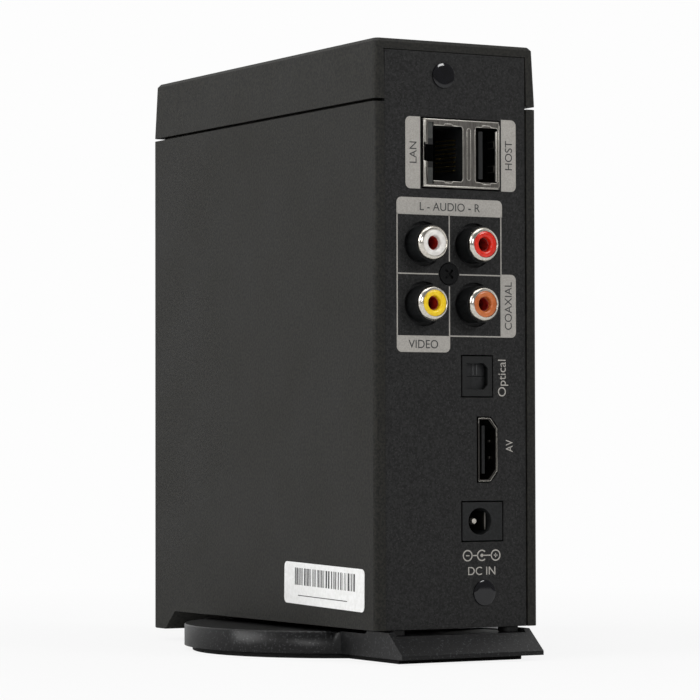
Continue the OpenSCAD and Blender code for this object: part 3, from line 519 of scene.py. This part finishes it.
on_panel = bmesh.new()
words(on_panel, "Optical", (-12.6, PANEL_Y, 58.65), 2.15, 8.7, UP, LEFT)
words(on_panel, "AV", (-14.6, PANEL_Y, 42.6), 1.9, 2.9, UP, LEFT)
words(on_panel, "DC IN", (-6.85, PANEL_Y, 13.3), 1.9, 7.5, RIGHT, UP)

# Polarity sign of a power jack: minus outside, plus on the pin
SIGN_Z = 16.9
SIGN_X = (-2.97, -6.9, -10.7)
SIGN_R = 1.2
SIGN_FACE = PANEL_Y + LETTER_INK
RING_W = 0.3
DOT_R = 0.4
DOT_EDGE = 0.35
LINK_HALF = 0.14
STROKE_HALF = 0.13
STROKE_REACH = 0.5


def ring(mesh, x, z, r, width, start=0.0, sweep=360.0, steps=32):
    """A flat ring of ink, or part of one, in degrees round from +X."""
    arc = [math.radians(start + sweep * i / steps) for i in range(steps + 1)]
    outer, inner = ([(x + edge * math.cos(a), z + edge * math.sin(a)) for a in arc]
                    for edge in (r + width / 2, r - width / 2))
    for i in range(steps):
        slab(mesh, [outer[i], outer[i + 1], inner[i + 1], inner[i]], PANEL_Y, SIGN_FACE)


ring(on_panel, SIGN_X[0], SIGN_Z, SIGN_R, RING_W)
ring(on_panel, SIGN_X[2], SIGN_Z, SIGN_R, RING_W)
ring(on_panel, SIGN_X[1], SIGN_Z, SIGN_R, RING_W, start=-135, sweep=270)
ring(on_panel, SIGN_X[1], SIGN_Z, DOT_R / 2, DOT_R)
for low, high in ((SIGN_X[1] + SIGN_R, SIGN_X[0] - SIGN_R),
                  (SIGN_X[2] + SIGN_R, SIGN_X[1] - DOT_EDGE)):
    slab(on_panel, rectangle(low, high, SIGN_Z - LINK_HALF, SIGN_Z + LINK_HALF),
         PANEL_Y, SIGN_FACE)
for x in (SIGN_X[0], SIGN_X[2]):
    slab(on_panel, rectangle(x - STROKE_REACH, x + STROKE_REACH,
                             SIGN_Z - STROKE_HALF, SIGN_Z + STROKE_HALF), PANEL_Y, SIGN_FACE)
slab(on_panel, rectangle(SIGN_X[2] - STROKE_HALF, SIGN_X[2] + STROKE_HALF,
                         SIGN_Z - STROKE_REACH, SIGN_Z + STROKE_REACH), PANEL_Y, SIGN_FACE)
piece("panel_words", on_panel, pale_ink)


# ---------------------------------------------------------------- double port

def bar(mesh, x0, x1, z0, z1, y0=TWIN_Y - 0.05, y1=TWIN_Y + 0.15, bevel=0.1):
    """A raised strip with rounded edges."""
    slab(mesh, rectangle(x0, x1, z0, z1), y0, y1, bevel)


def rim(mesh, points, width=0.18, face=TWIN_Y):
    """The rounded edge of a stamped opening, along (x, z) points on a face at y."""
    for (x0, z0), (x1, z1) in zip(points, points[1:]):
        length = math.hypot(x1 - x0, z1 - z0)
        nx, nz = (z1 - z0) / length * width / 2, -(x1 - x0) / length * width / 2
        strip = [(x0 + nx, z0 + nz), (x1 + nx, z1 + nz), (x1 - nx, z1 - nz), (x0 - nx, z0 - nz)]
        slab(mesh, strip, face - 0.05, face + 0.12, width * 0.42)


folds = bmesh.new()
top, foot = TWIN_Z + TWIN_H, TWIN_Z
far, near = TWIN_X, TWIN_X + TWIN_W
# Sheet folded back along the top and foot, and in two strips beside the lights
bar(folds, far + 0.35, near - 0.05, top - 0.35, top - 0.05, bevel=0.12)
bar(folds, far + 0.35, near - 0.05, foot + 0.05, foot + 0.5, bevel=0.15)
bar(folds, near - 0.8, near - 0.1, foot + 0.6, foot + 6.2)
bar(folds, near - 0.8, near - 0.1, top - 5.6, top - 0.4)
bar(folds, near - 0.16, near - 0.02, foot + 0.6, top - 0.4, bevel=0.05)
rim(folds, [(far + 0.3, foot + 0.4), (far + 0.08, foot + 0.9), (far + 0.08, top - 0.9),
            (far + 0.3, top - 0.4)])
# Rims of both openings, LIP outside their edges. Each has cut corners on its far side, and a
# shallow notch for a spring tab at its top and foot
LIP = 0.1
CORNER = 0.5
TAB_SLANT = 0.25
TAB_DEPTH = 0.4
for (x0, x1), tab in ((NET_X, (1.2, 3.1)), (HOST_X, (-9.4, -7.3))):
    for z, out in ((NET_Z[0] - LIP, -1), (NET_Z[1] + LIP, 1)):
        rim(folds, [(x1 + LIP, z), (tab[1] + TAB_SLANT, z)])
        rim(folds, [(tab[1] + TAB_SLANT, z), (tab[1], z + out * TAB_DEPTH),
                    (tab[0], z + out * TAB_DEPTH), (tab[0] - TAB_SLANT, z)], width=0.22)
        rim(folds, [(tab[0] - TAB_SLANT, z), (x0 + CORNER - LIP, z),
                    (x0 - LIP, z - out * CORNER)])
    rim(folds, [(x0 - LIP, NET_Z[0] + CORNER - LIP), (x0 - LIP, NET_Z[1] - CORNER + LIP)])
# The host opening's near side, bowed out
BOW = 0.35
rim(folds, [(HOST_X[1] + LIP, NET_Z[0]), (HOST_X[1] + BOW, NET_Z[0] + CORNER),
            (HOST_X[1] + BOW, NET_Z[1] - CORNER), (HOST_X[1] + LIP, NET_Z[1])])
# Long pressed slot between the openings, with cut corners
SLOT_END = 0.35
SLOT_SIDE = 0.7
SLOT_CUT = 0.25
rim(folds, [(SLOT_X[0], NET_Z[0] + SLOT_SIDE), (SLOT_X[0], NET_Z[1] - SLOT_SIDE),
            (SLOT_X[0] + SLOT_CUT, NET_Z[1] - SLOT_END),
            (SLOT_X[1] - SLOT_CUT, NET_Z[1] - SLOT_END),
            (SLOT_X[1], NET_Z[1] - SLOT_SIDE), (SLOT_X[1], NET_Z[0] + SLOT_SIDE),
            (SLOT_X[1] - SLOT_CUT, NET_Z[0] + SLOT_END),
            (SLOT_X[0] + SLOT_CUT, NET_Z[0] + SLOT_END),
            (SLOT_X[0], NET_Z[0] + SLOT_SIDE)])
# The folds and rims are in the lighter nickel: a painted highlight along them
piece("shield_folds", folds, nickel_painted_highlight)

# Two sprung tongues cut in the host port's far wall, each drawn as two long edges and an end,
# and the wall's inner fold, all in the lighter nickel that is a painted highlight
SPRING_INNER = 0.65
SPRING_OUTER = 0.85
SPRING_ROOT = TWIN_Y - 4.2
SPRING_END = (TWIN_Y - 1.7, TWIN_Y - 1.5)
springs = bmesh.new()
wall_x = HOST_X[0] + 0.05
for z in HOST_SPRING_Z:
    for low, high, start in ((z + SPRING_INNER, z + SPRING_OUTER, SPRING_ROOT),
                             (z - SPRING_OUTER, z - SPRING_INNER, SPRING_ROOT),
                             (z - SPRING_OUTER, z + SPRING_OUTER, SPRING_END[0])):
        bar(springs, wall_x, wall_x + 0.2, low, high, start, SPRING_END[1], bevel=0.03)
bar(springs, wall_x, wall_x + 0.5, NET_Z[0] + 0.3, NET_Z[1] - 0.7, TWIN_Y - 0.6, TWIN_Y - 0.1,
    bevel=0.08)
piece("host_springs", springs, nickel_painted_highlight)


# ---------------------------------------------------------------- phono jacks

barrels = bmesh.new()
for x in JACK_X:
    for z in JACK_Z:
        turned(barrels, x, z, [
            (BARREL_REAR, BARREL_BORE), (BARREL_REAR, 3.9), (SLEEVE_END + 0.02, 3.9),
            (SLEEVE_END + 0.02, 4.0), (SLEEVE_END + 0.1, BARREL_R), (BARREL_END - 0.95, BARREL_R),
            (BARREL_END - 0.78, 4.01), (BARREL_END - 0.58, 3.9), (BARREL_END - 0.38, 3.75),
            (BARREL_END - 0.2, 3.56), (BARREL_END - 0.07, 3.36), (BARREL_END, 3.2),
            (BARREL_END - 0.05, BARREL_BORE), (BARREL_REAR, BARREL_BORE)])
piece("phono_barrels", barrels, bright_nickel, replaces=["jack_barrels"],
      crease=50)

INSERTS = {
    "white": (JACK_X[0], JACK_Z[1], white_pp),
    "red": (JACK_X[1], JACK_Z[1], red_pp),
    "yellow": (JACK_X[0], JACK_Z[0], yellow_pp),
    "orange": (JACK_X[1], JACK_Z[0], orange_pp),
}
for colour, (x, z, material) in INSERTS.items():
    insert = bmesh.new()
    turned(insert, x, z, [
        (INSERT_REAR, HOLE_R), (INSERT_REAR, INSERT_R), (FACE_Y - 0.1, INSERT_R),
        (FACE_Y, 3.0), (FACE_Y, 2.0), (FACE_Y - 0.1, 1.82), (FACE_Y - 0.35, 1.7),
        (FACE_Y - 0.6, HOLE_R), (INSERT_REAR, HOLE_R)])
    piece(f"phono_insert_{colour}", insert, material,
          replaces=[f"jack_insert_{colour}"], crease=60)

linings = bmesh.new()
for x in JACK_X:
    for z in JACK_Z:
        turned(linings, x, z, [
            (LINING_Y[0], 0), (LINING_Y[0], LINING_R), (FACE_Y - 1.3, LINING_R),
            (FACE_Y - 1.35, 1.5), (FACE_Y - 2.4, 1.35), (LINING_Y[1], 1.3),
            (LINING_Y[1], 0)], steps=40)
piece("hole_linings", linings, red_lining, replaces=["jack_contacts"])


# ---------------------------------------------------------------- small ports

# Ribs on the upper door, pale as a painted highlight, and the groove down both doors as a
# raised dark line of painted shade. They end DOOR_REACH from the middle
RIB_HALF = 0.12
DOOR_REACH = 2.9
ribs = bmesh.new()
for x in (OPTICAL[0] + 0.35, OPTICAL[0] - 0.65):
    bar(ribs, x - RIB_HALF, x + RIB_HALF, OPTICAL[1] + 0.3, OPTICAL[1] + DOOR_REACH,
        DOOR_Y - 0.05, DOOR_Y + 0.1, bevel=0.05)
piece("shutter_ribs", ribs, rib_painted_highlight, body="upper_flap")
for body, side in (("upper_flap", 1), ("lower_flap", -1)):
    line = bmesh.new()
    bar(line, OPTICAL[0] + 0.75, OPTICAL[0] + 0.95,
        OPTICAL[1] + side * 0.1, OPTICAL[1] + side * DOOR_REACH,
        DOOR_Y - 0.05, DOOR_Y + 0.02, bevel=0)
    # The groove is a darker strip: painted shade
    piece(f"shutter_groove_shade_{body}", line, pbt, body=body)

# Half-round notches above and below the shutter
NOTCH_R = 0.6
NOTCH_OUT = 3.1
NOTCH_Y = (115.5, 115.57)
notches = bmesh.new()
arc = [math.radians(180 * i / 12) for i in range(13)]
for side in (1, -1):
    middle = OPTICAL[1] + side * NOTCH_OUT
    outline = [(OPTICAL[0] + 0.1 + NOTCH_R * math.cos(a),
                middle + side * NOTCH_R * math.sin(a)) for a in arc]
    slab(notches, outline, *NOTCH_Y)
piece("shutter_notches", notches, pbt)

# Cut edge of the picture port's shield, drawn bright: a painted highlight
edges = bmesh.new()
rim(edges, [(AV[0] + x, AV[1] + z) for x, z in (
    (2.55, 7.38), (-0.62, 7.38), (-2.52, 5.02), (-2.52, -5.02), (-0.62, -7.38), (2.55, -7.38))],
    width=0.14, face=PANEL_Y + 0.1)
rim(edges, [(AV[0] + 2.52, AV[1] + 7.3), (AV[0] + 2.52, AV[1] + 6.2)], width=0.12,
    face=PANEL_Y + 0.1)
# Two contact springs inside the shield's far side, drawn bright: a painted highlight
for z in (AV[1] - 1.9, AV[1] + 2.0):
    bar(edges, AV[0] - 2.15, AV[0] - 1.95, z - 0.3, z + 0.3, PANEL_Y - 3.0, PANEL_Y - 2.4,
        bevel=0.05)
piece("picture_port_edges", edges, nickel_painted_highlight)


# ---------------------------------------------------------------- screw covers

covers = bmesh.new()
for x, z in COVERS:
    turned(covers, x, z, [(PANEL_Y, 0), (PANEL_Y, COVER_R), (PANEL_Y + 0.24, COVER_R),
                          (PANEL_Y + 0.34, 2.95), (PANEL_Y + 0.41, 2.78), (PANEL_Y + 0.46, 1.9),
                          (PANEL_Y + 0.485, 1.0), (PANEL_Y + 0.5, 0)])
piece("cover_discs", covers, black_acrylic, replaces=["screw_covers"])


# ---------------------------------------------------------------- side label

# Generic upright bars and a thin line below them, from the label's middle
BARS_Y = (-14.1, 14.8)
BARS_Z = (-0.4, 3.7)
BAR_WIDTHS = (0.25, 0.25, 0.45, 0.7)
BAR_GAPS = (0.3, 0.3, 0.5, 0.75)
bars = bmesh.new()
pick = random.Random(7)
turn = Matrix.Rotation(math.radians(LABEL_TURN), 3, "X")


def label_bar(y0, y1, z0, z1):
    """A bar of ink on the label, y and z from the label's middle."""
    corners = [turn @ Vector((0, y, z)) for y, z in ((y0, z0), (y1, z0), (y1, z1), (y0, z1))]
    low, high = ([bars.verts.new((LABEL_FACE + lift, LABEL_Y + c.y, LABEL_Z + c.z))
                  for c in corners] for lift in (0, LETTER_INK))
    bars.faces.new(low)
    bars.faces.new(high)
    for i in range(4):
        bars.faces.new((low[i], low[(i + 1) % 4], high[(i + 1) % 4], high[i]))


y = BARS_Y[0]
while y < BARS_Y[1]:
    width = pick.choice(BAR_WIDTHS)
    label_bar(y, y + width, *BARS_Z)
    y += width + pick.choice(BAR_GAPS)
label_bar(-12.5, 11.5, -3.0, -2.8)
piece("label_bars", bars, label_ink)


# ---------------------------------------------------------------- studio

# In metres, in the frame's own axes: its origin is on the floor, below the middle of the
# object's box
FLOOR_R = 6.0
AIM = (0, 0, 0.07)    # the lamps point at about half the object's height


def studio():
    """White floor and surround, with soft lamps at the side, behind the camera and above."""
    world = bpy.data.worlds.new("studio")
    bpy.context.scene.world = world
    world.use_nodes = True
    tree = world.node_tree
    tree.nodes.clear()
    path = add(tree, "ShaderNodeLightPath")
    seen = add(tree, "ShaderNodeMath",
               {0: path.outputs["Is Camera Ray"], 1: path.outputs["Is Transmission Ray"]},
               operation="MAXIMUM")
    seen = add(tree, "ShaderNodeMath", {0: seen.outputs[0], 1: path.outputs["Is Glossy Ray"]},
               operation="MAXIMUM")
    # The room behind the camera is darker than the white backdrop in front of it
    ahead = add(tree, "ShaderNodeTexCoord").outputs["Generated"]
    ahead = add(tree, "ShaderNodeSeparateXYZ", {"Vector": ahead}).outputs["Y"]
    room = add(tree, "ShaderNodeMapRange", {"Value": ahead, "From Min": -0.1, "From Max": 0.5,
                                            "To Min": 1.0, "To Max": 0.22})
    bright = add(tree, "ShaderNodeMath", {0: path.outputs["Is Camera Ray"],
                                          1: room.outputs["Result"]}, operation="MAXIMUM")
    level = add(tree, "ShaderNodeMapRange", {"Value": seen.outputs[0], "To Min": 0.3,
                                             "To Max": bright.outputs[0]})
    light = add(tree, "ShaderNodeBackground", {"Color": linear("#fdfdfd"),
                                               "Strength": level.outputs["Result"]})
    out = add(tree, "ShaderNodeOutputWorld")
    tree.links.new(light.outputs["Background"], out.inputs["Surface"])

    floor_mesh = bmesh.new()
    bmesh.ops.create_circle(floor_mesh, cap_ends=True, segments=96, radius=FLOOR_R)
    data = bpy.data.meshes.new("floor")
    floor_mesh.to_mesh(data)
    floor_mesh.free()
    floor = bpy.data.objects.new("floor", data)
    bpy.context.scene.collection.objects.link(floor)
    paper = bpy.data.materials.new("studio_paper")
    paper.use_nodes = True
    tree = paper.node_tree
    tree.nodes.clear()
    path = add(tree, "ShaderNodeLightPath")
    # Lit paper under the object fades into plain white where the sweep of paper would curve up
    spot = add(tree, "ShaderNodeTexCoord").outputs["Object"]
    reach = add(tree, "ShaderNodeVectorMath", {0: spot}, operation="LENGTH")
    fade = add(tree, "ShaderNodeMapRange", {"Value": reach.outputs["Value"], "From Min": 0.1,
                                            "From Max": 0.35, "To Min": 0.88, "To Max": 1.0})
    share = add(tree, "ShaderNodeMath", {0: path.outputs["Is Camera Ray"],
                                         1: fade.outputs["Result"]}, operation="MULTIPLY")
    lit = add(tree, "ShaderNodeBsdfDiffuse", {"Color": linear("#f4f4f4")})
    white = add(tree, "ShaderNodeEmission", {"Color": linear("#fdfdfd"), "Strength": 1.0})
    mixed = add(tree, "ShaderNodeMixShader", {0: share.outputs[0], 1: lit.outputs["BSDF"],
                                              2: white.outputs["Emission"]})
    out = add(tree, "ShaderNodeOutputMaterial")
    tree.links.new(mixed.outputs["Shader"], out.inputs["Surface"])
    data.materials.append(paper)

    for name, where, size, power in (
            ("side_softbox", (1.6, 0.0, 0.9), 1.0, 14.0),
            ("rear_softbox", (-0.75, 1.6, 1.0), 0.45, 9.0),
            ("camera_softbox", (1.1, 1.4, 0.6), 0.5, 5.0),
            ("top_softbox", (0.1, 0.1, 1.6), 1.2, 7.0),
    ):
        lamp = bpy.data.lights.new(name, "AREA")
        lamp.shape = "SQUARE"
        lamp.size = size
        lamp.energy = power
        holder = bpy.data.objects.new(name, lamp)
        holder.location = where
        aim = Vector(AIM) - Vector(where)
        holder.rotation_euler = aim.to_track_quat("-Z", "Y").to_euler()
        bpy.context.scene.collection.objects.link(holder)


studio()
bpy.context.scene.view_settings.view_transform = "Standard"
